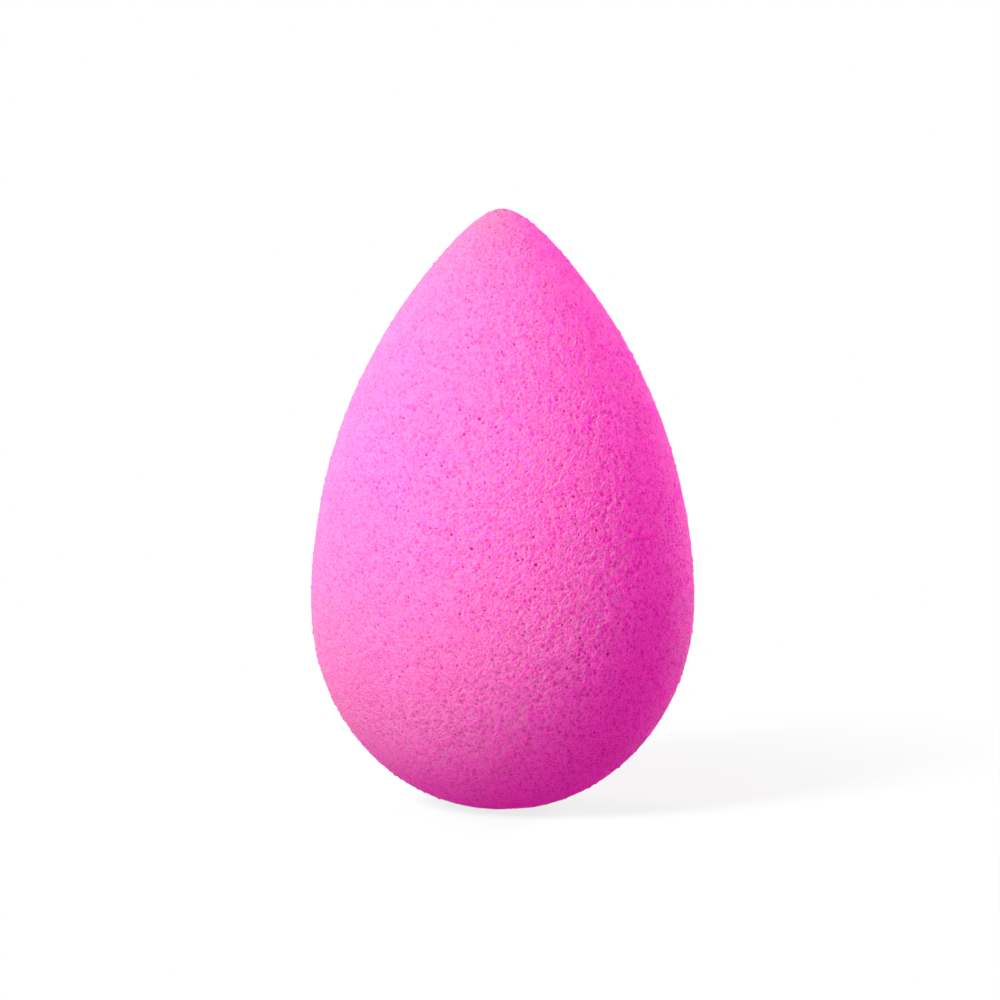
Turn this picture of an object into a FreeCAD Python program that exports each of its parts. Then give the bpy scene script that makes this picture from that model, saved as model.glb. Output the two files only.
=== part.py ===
# Teardrop makeup sponge: one seamless piece of soft, fine-celled foam, standing on its round end with the tip up.
# Millimetres, +Z up. The origin is the centre of the foot, the small flat that the foam rests on.
# The body is one outline turned about Z: foot, elliptical base, flank arc and rounded nose.

import FreeCAD
import Part
import math
import os

# Driving dimensions
HEIGHT = 60.0  # foot to tip
BELLY_DIAMETER = 38.5  # widest section
BELLY_HEIGHT = 20.3  # widest section above the foot
NOSE_DIAMETER = 13.1  # ring where the flank passes into the nose
NOSE_HEIGHT = 5.1  # tip above that ring
FOOT_DEPTH = 0.5  # how far the flat foot cuts into the round base

# Sizes that follow from them
BELLY_RADIUS = BELLY_DIAMETER / 2
NOSE_RADIUS = NOSE_DIAMETER / 2
BASE_DEPTH = BELLY_HEIGHT + FOOT_DEPTH  # belly to the bottom of the whole, uncut ellipse
FOOT_RADIUS = BELLY_RADIUS * math.sqrt(1 - (BELLY_HEIGHT / BASE_DEPTH) ** 2)
FLANK_RISE = HEIGHT - NOSE_HEIGHT - BELLY_HEIGHT
FLANK_INSET = BELLY_RADIUS - NOSE_RADIUS
FLANK_RADIUS = (FLANK_INSET**2 + FLANK_RISE**2) / (2 * FLANK_INSET)
FLANK_ANGLE = math.asin(FLANK_RISE / FLANK_RADIUS)  # how far the flank leans in where it meets the nose


def outline_point(radius, height):
    """A point of the outline, which lies in the XZ plane."""
    return FreeCAD.Vector(radius, 0, height)


FOOT_CENTRE = outline_point(0, 0)
FOOT_RIM = outline_point(FOOT_RADIUS, 0)
BELLY_CENTRE = outline_point(0, BELLY_HEIGHT)
BELLY_RIM = outline_point(BELLY_RADIUS, BELLY_HEIGHT)
NOSE_RIM = outline_point(NOSE_RADIUS, HEIGHT - NOSE_HEIGHT)
TIP = outline_point(0, HEIGHT)


def base_edge():
    """The ellipse from the foot's rim up to the belly, upright where it meets the belly."""
    bottom = outline_point(0, BELLY_HEIGHT - BASE_DEPTH)
    short_end, long_end = sorted([bottom, BELLY_RIM], key=BELLY_CENTRE.distanceToPoint)
    ellipse = Part.Ellipse(long_end, short_end, BELLY_CENTRE)
    first, last = ellipse.parameter(FOOT_RIM), ellipse.parameter(BELLY_RIM)
    if (last - first) % (2 * math.pi) > math.pi:
        first, last = last, first
    return Part.ArcOfEllipse(ellipse, first, last).toShape()


def flank_edge():
    """The long arc from the belly to the nose, upright at the belly, with its centre level with the belly."""
    half = FLANK_ANGLE / 2
    middle = outline_point(
        BELLY_RADIUS - FLANK_RADIUS * (1 - math.cos(half)),
        BELLY_HEIGHT + FLANK_RADIUS * math.sin(half),
    )
    return Part.Arc(BELLY_RIM, middle, NOSE_RIM).toShape()


def nose_edge():
    """The parabola that goes on from the flank and lies level at the tip."""
    corner = outline_point(NOSE_RADIUS - NOSE_HEIGHT * math.tan(FLANK_ANGLE), HEIGHT)
    curve = Part.BezierCurve()
    curve.setPoles([NOSE_RIM, corner, TIP])
    return curve.toShape()


def sponge_body():
    """The foam body: the outline, closed along the axis, turned once round."""
    foot = Part.LineSegment(FOOT_CENTRE, FOOT_RIM).toShape()
    axis = Part.LineSegment(TIP, FOOT_CENTRE).toShape()
    outline = Part.Wire([foot, base_edge(), flank_edge(), nose_edge(), axis])
    return Part.Face(outline).revolve(FOOT_CENTRE, FreeCAD.Vector(0, 0, 1), 360)


def main():
    os.makedirs("parts", exist_ok=True)
    body = sponge_body()
    body.exportStep("parts/sponge_body.step")
    size = body.optimalBoundingBox()
    print(
        f"sponge_body: {size.XLength:.2f} x {size.YLength:.2f} x {size.ZLength:.2f} mm,"
        f" {body.Volume / 1000:.2f} cm3, centre of mass {body.CenterOfMass.z:.2f} mm up,"
        f" foot {2 * FOOT_RADIUS:.2f} mm across, flank radius {FLANK_RADIUS:.2f} mm, valid {body.isValid()}"
    )


main()
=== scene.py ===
# Looks of the teardrop makeup sponge: one body of pink foam with open pores over a fine, pitted grain.
# Metres, +Z up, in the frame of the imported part. The foam's mesh follows the outline of the CAD body.

import math

import bmesh
import bpy
import numpy as np
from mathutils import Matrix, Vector
from mathutils.geometry import delaunay_2d_cdt
from mathutils.kdtree import KDTree


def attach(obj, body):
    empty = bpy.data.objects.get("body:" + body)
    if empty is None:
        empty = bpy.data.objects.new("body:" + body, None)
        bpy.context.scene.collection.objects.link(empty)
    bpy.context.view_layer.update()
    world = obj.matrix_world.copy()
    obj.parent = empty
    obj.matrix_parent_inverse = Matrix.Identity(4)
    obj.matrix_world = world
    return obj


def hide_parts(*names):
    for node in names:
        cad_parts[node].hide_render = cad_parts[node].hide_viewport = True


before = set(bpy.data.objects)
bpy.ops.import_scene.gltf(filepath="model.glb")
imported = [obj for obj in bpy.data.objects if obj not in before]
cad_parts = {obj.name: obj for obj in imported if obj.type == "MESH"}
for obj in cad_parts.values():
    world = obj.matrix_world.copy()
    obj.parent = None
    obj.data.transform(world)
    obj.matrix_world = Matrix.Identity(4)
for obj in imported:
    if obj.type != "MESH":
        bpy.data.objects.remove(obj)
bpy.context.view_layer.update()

MM = 0.001
FULL_TURN = 2 * math.pi
GOLDEN_ANGLE = math.pi * (3 - math.sqrt(5))
WHITE = (1, 1, 1, 1)
BODY = "sponge_body"
SEED = 11

# Camera, as in the photograph: nearly level with the sponge, through a long lens
PICTURE = 1000  # pixels along each side
SENSOR = 36 * MM
CAMERA_DISTANCE = 600 * MM
CAMERA_ELEVATION = math.radians(7)
PIXELS_PER_METRE = 9995.0  # at the sponge's axis
AIM = Vector((-0.24 * MM, 0, 30.73 * MM))  # what the middle of the picture shows

# Lamps: soft squares that face the sponge. Azimuth 0 is the camera's side and grows to the right.
# A lamp's level is how bright a white card that faces it renders, where 1 is white.
LAMP_SIZE = 200 * MM
LAMP_DISTANCE = 600 * MM
LAMP_POWER = math.pi * (LAMP_SIZE**2 + math.pi * LAMP_DISTANCE**2)  # watts for a level of 1
LAMPS = [
    {"name": "key", "azimuth": -46, "elevation": 34, "level": 1.45},
    {"name": "front", "azimuth": -30, "elevation": 14, "level": 0.20},
    {"name": "back_left", "azimuth": -140, "elevation": 12, "level": 0.65},
    {"name": "back_right", "azimuth": 140, "elevation": 12, "level": 1.30},
]
ROOM_LEVEL = 0.02  # light from all round

# Floor: white to the eye, with the sponge's shadow near it, and dull as a source of light
FLOOR_RADIUS = 350 * MM
FLOOR_SIDES = 96
FLOOR_WHITE = 0.9
FLOOR_DULL = 0.07
SHADOW_NEAR = 25 * MM  # from this distance from the axis outwards the shadow fades
SHADOW_FAR = 75 * MM  # beyond this distance the floor is plain white
SHADOW_LIFT = 0.80  # how far the shadow is lightened near the sponge

# Outline: how finely it is followed
OUTLINE_STEP = 0.02 * MM
NORMAL_REACH = 10 * OUTLINE_STEP  # a normal is taken from the outline this far to each side

# Grain: points spread evenly over the foam. Some are pits or peaks, and no two of those are neighbours.
GRAIN_POINTS = 76000
GRAIN_JITTER = 0.25  # of the step from point to point
GRAIN_TREMBLE = 0.03 * MM
PIT_DEPTH = 0.18 * MM  # the middle depth
PIT_SPREAD = 0.5  # of the logarithm of the depth
PIT_DEEPEST = 0.34 * MM
PIT_SHADE = 0.8  # how far the deepest pit takes the painted shade of a pore
PEAK_SHARE = 0.4  # of the pits and peaks together
PEAK_HEIGHT = 0.045 * MM  # the mean height
PEAK_HIGHEST = 0.12 * MM

# Pores: open cells, as a rule deeper than the pits
PORES = 3000
PORE_TRIES = 4 * PORES
PORE_RADIUS = 0.11 * MM  # the middle size
PORE_SPREAD = 0.35  # of the logarithm of the radius
PORE_LIMITS = (0.06 * MM, 0.26 * MM)
PORE_DEPTH = 2.2  # of its radius
PORE_SHADE = 2.0  # how far the middle of a pore takes the painted shade, so that the inner half of it has all of it
PORE_GAP = 0.16 * MM  # least foam between two pores
PORE_MARGIN = 0.12 * MM  # grain points stay this far outside a pore's rim
PORE_FREE_END = 1.2 * MM  # no pore lies nearer than this to the tip or to the foot's middle
RIM_SIDES = 6
RIM_UNEVEN = 0.25  # of the pore's radius
SHADE_ATTRIBUTE = "pit_and_pore_shade"  # the mesh's attribute that says how far a point takes the painted shade of pits and pores

# Unevenness of the ground foam: shallow waves that run in all directions
WAVES = 12
WAVE_LENGTHS = (9 * MM, 26 * MM)
WAVE_DEPTH = 0.12 * MM

# Joining the points into triangles, in a flat map
JOIN_TO_HULL = 0  # the kind of output that fills the whole outer hull
JOIN_NEARNESS = 1e-9  # points nearer than this in the map are one

# Foam material
FOAM_PALE = (0.99, 0.222, 0.555, 1)
FOAM_DEEP = (0.99, 0.209, 0.535, 1)
# Painted shade: the darker, deeper pink that pores, pits and the middles of cells take
FOAM_PORE_SHADE = (0.55, 0.006, 0.175, 1)
FOAM_GLOW = (130.0, 0.0, 105.0)  # reach of red, green and blue light inside the foam, in millimetres
FOAM_GLOW_SHARE = 1.0  # of the light that isn't mirrored
FOAM_SHINE = 0.03
FOAM_SHEEN = 0.02
SHEEN_ROUGHNESS = 0.5
CELL_SIZE = 0.27 * MM
CELL_DEPTH = 0.24 * MM
CELL_SHADE_RIM = 0.42  # where the painted shade in a cell's hollow ends, of the size of the cell
CELL_SHADE = 0.85  # how far the middle of a cell takes the painted shade of a pore
CLOUD_SIZE = 3.0 * MM
CLOUD_DETAIL = 4.0
CLOUD_TO_COLOUR = (0.35, 0.65)  # the clouds' span from the pale to the deep colour
CLOUD_TO_ROUGHNESS = (0.3, 0.7)  # their span from the least to the most rough
ROUGHNESS = (0.78, 0.95)

# A mix node has inputs and outputs for each kind of data. These are the ones for colours.
MIX_FIRST = 6
MIX_SECOND = 7
MIX_RESULT = 2


class Outline:
    """The CAD body's outline, by the distance along it from the tip to the foot's middle."""

    def __init__(self, node):
        spots = np.array([vertex.co for vertex in node.data.vertices])
        radius = np.hypot(spots[:, 0], spots[:, 1])
        height = spots[:, 2]
        belly = height[np.argmax(radius)]
        from_tip = np.argsort(np.arctan2(belly - height, radius))
        radius = np.concatenate([[0], radius[from_tip], [0]])
        height = np.concatenate([[height.max()], height[from_tip], [height.min()]])
        passed = np.concatenate([[0], np.cumsum(np.hypot(np.diff(radius), np.diff(height)))])
        self.length = passed[-1]
        self.along = np.linspace(0, self.length, round(self.length / OUTLINE_STEP))
        self.radius = np.interp(self.along, passed, radius)
        self.height = np.interp(self.along, passed, height)
        step = self.along[1]
        ring_area = FULL_TURN * self.radius * step
        self.area = np.cumsum(ring_area) - ring_area / 2
        # The distance from the tip in a flat map of the surface that keeps all angles
        growth = step / np.maximum(self.radius, step / 2)
        self.mapped = np.exp(np.cumsum(growth) - np.sum(growth) / 2)

    def of(self, column, along):
        """What one of the outline's columns says at these distances along it."""
        return np.interp(along, self.along, column)

    def normal(self, along):
        """The outward normal's parts along the radius and along the height."""
        before, after = along - NORMAL_REACH, along + NORMAL_REACH
        rise = self.of(self.height, after) - self.of(self.height, before)
        spread = self.of(self.radius, after) - self.of(self.radius, before)
        size = np.hypot(rise, spread)
        return -rise / size, spread / size

    def place(self, along, turn, sink):
        """Points on the surface, each sunk below it along the normal."""
        out, up = self.normal(along)
        radius = self.of(self.radius, along) - sink * out
        height = self.of(self.height, along) - sink * up
        return np.column_stack([radius * np.cos(turn), radius * np.sin(turn), height])


def pore_table(outline, rng):
    """Scattered pores that don't meet: distance along the outline, turn and radius of each."""
    along = np.interp(rng.uniform(0, outline.area[-1], PORE_TRIES), outline.area, outline.along)
    turn = rng.uniform(0, FULL_TURN, PORE_TRIES)
    radius = np.clip(PORE_RADIUS * np.exp(rng.normal(0, PORE_SPREAD, PORE_TRIES)), *PORE_LIMITS)
    spots = outline.place(along, turn, 0)
    free = (along > PORE_FREE_END) & (along < outline.length - PORE_FREE_END)
    kept = []
    for index in np.flatnonzero(free):
        gaps = np.linalg.norm(spots[kept] - spots[index], axis=1) - radius[kept] - radius[index]
        if not kept or gaps.min() > PORE_GAP:
            kept.append(index)
        if len(kept) == PORES:
            break
    return along[kept], turn[kept], radius[kept]


def rim_table(outline, pores, rng):
    """Uneven rings of points round the pores, as distances along the outline and turns."""
    along, turn, radius = pores
    angle = rng.uniform(0, FULL_TURN, (len(along), 1)) + np.arange(RIM_SIDES) * FULL_TURN / RIM_SIDES
    reach = radius[:, None] * rng.uniform(1 - RIM_UNEVEN, 1 + RIM_UNEVEN, angle.shape)
    rim_along = along[:, None] + reach * np.cos(angle)
    rim_turn = turn[:, None] + reach * np.sin(angle) / outline.of(outline.radius, rim_along)
    return rim_along.ravel(), rim_turn.ravel()


def grain_table(outline, pores, rng):
    """Evenly spread points outside the pores, as distances along the outline and turns."""
    pore_along, pore_turn, pore_radius = pores
    tree = KDTree(len(pore_along))
    for index, spot in enumerate(outline.place(pore_along, pore_turn, 0)):
        tree.insert(spot, index)
    tree.balance()
    count = np.arange(GRAIN_POINTS)
    middle = (count + 0.5) / GRAIN_POINTS  # each point stands in the middle of its share of the area
    step = math.sqrt(outline.area[-1] / GRAIN_POINTS)
    along = np.interp(middle * outline.area[-1], outline.area, outline.along)
    along = along + rng.normal(0, GRAIN_JITTER * step, GRAIN_POINTS)
    along = np.clip(along, 0, outline.length - step / 2)
    across = rng.normal(0, GRAIN_JITTER * step, GRAIN_POINTS)
    turn = count * GOLDEN_ANGLE + across / np.maximum(outline.of(outline.radius, along), step)
    clear = np.ones(GRAIN_POINTS, bool)
    for index, spot in enumerate(outline.place(along, turn, 0)):
        _, nearest, distance = tree.find(spot)
        clear[index] = distance > pore_radius[nearest] + PORE_MARGIN
    return along[clear], turn[clear]


def joined_faces(outline, along, turn):
    """Triangles between neighbouring points, found in the flat map. The foot's middle lies outside of it."""
    reach = outline.of(outline.mapped, along)
    flat = [Vector(spot) for spot in np.column_stack([reach * np.cos(turn), reach * np.sin(turn)])]
    found = delaunay_2d_cdt(flat, [], [], JOIN_TO_HULL, JOIN_NEARNESS, True)
    _, _, faces, sources, _, _ = found
    source = [points[0] for points in sources]
    return [[source[corner] for corner in face] for face in faces]


def grain_depths(faces, grain, points, rng):
    """How deep each point lies in the grain. Pits and peaks are picked at random, never side by side."""
    neighbours = [[] for _ in range(points)]
    for face in faces:
        for corner, follower in zip(face, face[1:] + face[:1]):
            neighbours[corner].append(follower)
    taken = np.arange(points) >= grain
    picked = []
    for point in rng.permutation(grain):
        if not taken[point]:
            picked.append(point)
            taken[neighbours[point]] = True
    split = round(PEAK_SHARE * len(picked))
    peaks, pits = picked[:split], picked[split:]
    depth = np.zeros(points)
    depth[pits] = np.minimum(PIT_DEPTH * np.exp(rng.normal(0, PIT_SPREAD, len(pits))), PIT_DEEPEST)
    depth[peaks] = -np.minimum(rng.exponential(PEAK_HEIGHT, len(peaks)), PEAK_HIGHEST)
    return depth


def wave_depths(spots, rng):
    """How far the ground surface lies below the outline, from none to the whole depth of the waves."""
    total = np.zeros(len(spots))
    for _ in range(WAVES):
        heading = rng.normal(size=3)
        heading *= FULL_TURN / rng.uniform(*WAVE_LENGTHS) / np.linalg.norm(heading)
        total += np.sin(spots @ heading + rng.uniform(0, FULL_TURN))
    return WAVE_DEPTH * (total - total.min()) / (total.max() - total.min())


def close_skin(mesh):
    """Fills the hole in the middle of the foot and turns all faces outwards."""
    skin = bmesh.new()
    skin.from_mesh(mesh)
    bmesh.ops.holes_fill(skin, edges=skin.edges)
    bmesh.ops.recalc_face_normals(skin, faces=skin.faces)
    bmesh.ops.triangulate(skin, faces=skin.faces)
    skin.to_mesh(mesh)
    skin.free()


def foam_mesh(outline):
    """The foam's skin, with how far each point takes the painted shade of pits and pores as its attribute.
    """
    rng = np.random.default_rng(SEED)
    pores = pore_table(outline, rng)
    rim = rim_table(outline, pores, rng)
    grain = grain_table(outline, pores, rng)
    along = np.concatenate([grain[0], rim[0], pores[0]])
    turn = np.concatenate([grain[1], rim[1], pores[1]])
    faces = joined_faces(outline, along, turn)
    grain_sink = grain_depths(faces, len(grain[0]), len(along), rng)
    pore_sink = np.concatenate([np.zeros(len(grain[0]) + len(rim[0])), PORE_DEPTH * pores[2]])
    tremble = np.abs(rng.normal(0, GRAIN_TREMBLE, len(along)))
    waves = wave_depths(outline.place(along, turn, 0), rng)
    spots = outline.place(along, turn, grain_sink + pore_sink + tremble + waves)
    spots[:, 2] = np.maximum(spots[:, 2], outline.height.min())  # no peak stands below the flat foot
    mesh = bpy.data.meshes.new("foam")
    mesh.from_pydata(spots, [], faces)
    # Painted shade: pores take it wholly and pits by their depth, peaks take none
    painted_shade = np.where(pore_sink > 0, PORE_SHADE, PIT_SHADE * np.maximum(grain_sink, 0) / PIT_DEEPEST)
    mesh.attributes.new(SHADE_ATTRIBUTE, "FLOAT", "POINT").data.foreach_set("value", painted_shade)
    close_skin(mesh)
    mesh.shade_smooth()
    return mesh


class Shading:
    """A material's or world's node tree, with short ways to add and link its nodes."""

    def __init__(self, owner):
        owner.use_nodes = True
        self.tree = owner.node_tree

    def node(self, kind, inputs=(), **settings):
        """A new node with these settings and inputs."""
        made = self.tree.nodes.new("ShaderNode" + kind)
        for name, value in settings.items():
            setattr(made, name, value)
        self.fill(made, inputs)
        return made

    def fill(self, node, inputs):
        """Sets a node's inputs, which are pairs of a socket and its value or what links to it."""
        for socket, value in inputs:
            if isinstance(value, bpy.types.NodeSocket):
                self.tree.links.new(value, node.inputs[socket])
            else:
                node.inputs[socket].default_value = value

    def maths(self, operation, *values):
        """The result of a mathematical operation on these values."""
        return self.node("Math", enumerate(values), operation=operation).outputs[0]

    def colour(self, share, first, second):
        """A mix of two colours."""
        inputs = [(0, share), (MIX_FIRST, first), (MIX_SECOND, second)]
        return self.node("Mix", inputs, data_type="RGBA").outputs[MIX_RESULT]

    def between(self, value, low, high, to_low, to_high):
        """The value carried over from one range to another, and kept inside it."""
        return self.node("MapRange", enumerate([value, low, high, to_low, to_high])).outputs[0]

    def to_the_eye(self):
        """1 for what the camera sees, straight or in a reflection or through glass, and otherwise 0."""
        path = self.node("LightPath").outputs
        reflected = self.maths("MAXIMUM", path["Is Glossy Ray"], path["Is Transmission Ray"])
        return self.maths("MAXIMUM", path["Is Camera Ray"], reflected)


def foam_material():
    """Pink foam that light spreads in, with fine cells, and painted shade in pits, pores and the middles of
    cells.
    """
    material = bpy.data.materials.new("pink_foam")
    shading = Shading(material)
    place = shading.node("TexCoord").outputs["Object"]
    cells = shading.node("TexVoronoi", [("Vector", place), ("Scale", 1 / CELL_SIZE)]).outputs["Distance"]
    cloud_inputs = [("Vector", place), ("Scale", 1 / CLOUD_SIZE), ("Detail", CLOUD_DETAIL)]
    clouds = shading.node("TexNoise", cloud_inputs).outputs[0]
    bump = shading.node("Bump", [("Height", cells), ("Distance", CELL_DEPTH)])
    pit_and_pore_shade = shading.node("Attribute", attribute_name=SHADE_ATTRIBUTE).outputs["Fac"]
    # Painted shade in pits and pores and in the middles of the cells
    hollow_shade = shading.maths("MAXIMUM", pit_and_pore_shade, shading.between(cells, 0.0, CELL_SHADE_RIM, CELL_SHADE, 0.0))
    foam = shading.colour(shading.between(clouds, *CLOUD_TO_COLOUR, 0.0, 1.0), FOAM_PALE, FOAM_DEEP)
    shader = shading.tree.nodes["Principled BSDF"]
    shader.subsurface_method = "BURLEY"
    shading.fill(
        shader,
        [
            ("Base Color", shading.colour(hollow_shade, foam, FOAM_PORE_SHADE)),
            ("Roughness", shading.between(clouds, *CLOUD_TO_ROUGHNESS, *ROUGHNESS)),
            ("Normal", bump.outputs[0]),
            ("Specular IOR Level", FOAM_SHINE),
            ("Subsurface Weight", FOAM_GLOW_SHARE),
            ("Subsurface Radius", FOAM_GLOW),
            ("Subsurface Scale", MM),
            ("Sheen Weight", FOAM_SHEEN),
            ("Sheen Roughness", SHEEN_ROUGHNESS),
        ],
    )
    return material


def make_sponge():
    """The foam body, in place of the CAD body."""
    mesh = foam_mesh(Outline(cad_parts[BODY]))
    mesh.materials.append(foam_material())
    sponge = bpy.data.objects.new("foam_teardrop", mesh)
    bpy.context.scene.collection.objects.link(sponge)
    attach(sponge, "root")
    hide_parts(BODY)


def make_camera():
    data = bpy.data.cameras.new("camera")
    data.sensor_width = SENSOR / MM
    data.lens = PIXELS_PER_METRE * CAMERA_DISTANCE / PICTURE * SENSOR / MM
    camera = bpy.data.objects.new("camera", data)
    back = Vector((0, -math.cos(CAMERA_ELEVATION), math.sin(CAMERA_ELEVATION)))
    camera.location = AIM + CAMERA_DISTANCE * back
    camera.rotation_euler = (-back).to_track_quat("-Z", "Y").to_euler()
    bpy.context.scene.collection.objects.link(camera)
    bpy.context.scene.camera = camera


def make_lamp(name, azimuth, elevation, level):
    data = bpy.data.lights.new(name, "AREA")
    data.size = LAMP_SIZE
    data.energy = level * LAMP_POWER
    lamp = bpy.data.objects.new(name, data)
    turn, tilt = math.radians(azimuth), math.radians(elevation)
    away = Vector((math.sin(turn) * math.cos(tilt), -math.cos(turn) * math.cos(tilt), math.sin(tilt)))
    lamp.location = AIM + LAMP_DISTANCE * away
    lamp.rotation_euler = (-away).to_track_quat("-Z", "Y").to_euler()
    bpy.context.scene.collection.objects.link(lamp)


def floor_material():
    """White that glows to the eye, a little less near the sponge, where its shadow shows."""
    material = bpy.data.materials.new("white_floor")
    shading = Shading(material)
    seen = shading.to_the_eye()
    place = shading.node("TexCoord").outputs["Object"]
    distance = shading.node("VectorMath", [(0, place)], operation="LENGTH").outputs["Value"]
    glow = shading.between(distance, SHADOW_NEAR, SHADOW_FAR, SHADOW_LIFT, 1.0)
    level = shading.between(seen, 0.0, 1.0, FLOOR_DULL, FLOOR_WHITE)
    matte = shading.node("BsdfDiffuse", [("Color", level)]).outputs[0]
    white = shading.node("Emission").outputs[0]
    share = shading.maths("MULTIPLY", seen, glow)
    blend = shading.node("MixShader", enumerate([share, matte, white])).outputs[0]
    shading.fill(shading.tree.nodes["Material Output"], [("Surface", blend)])
    return material


def make_floor():
    mesh = bpy.data.meshes.new("floor")
    disc = bmesh.new()
    bmesh.ops.create_circle(disc, cap_ends=True, radius=FLOOR_RADIUS, segments=FLOOR_SIDES)
    disc.to_mesh(mesh)
    disc.free()
    mesh.materials.append(floor_material())
    floor = bpy.data.objects.new("floor", mesh)
    bpy.context.scene.collection.objects.link(floor)


def make_room():
    """White to the eye, and a faint light from all round to everything else."""
    world = bpy.data.worlds.new("white_room")
    shading = Shading(world)
    strength = shading.between(shading.to_the_eye(), 0.0, 1.0, ROOM_LEVEL, 1.0)
    shading.fill(shading.tree.nodes["Background"], [("Color", WHITE), ("Strength", strength)])
    bpy.context.scene.world = world


make_camera()
make_sponge()
for lamp in LAMPS:
    make_lamp(**lamp)
make_floor()
make_room()
bpy.context.scene.view_settings.view_transform = "Standard"
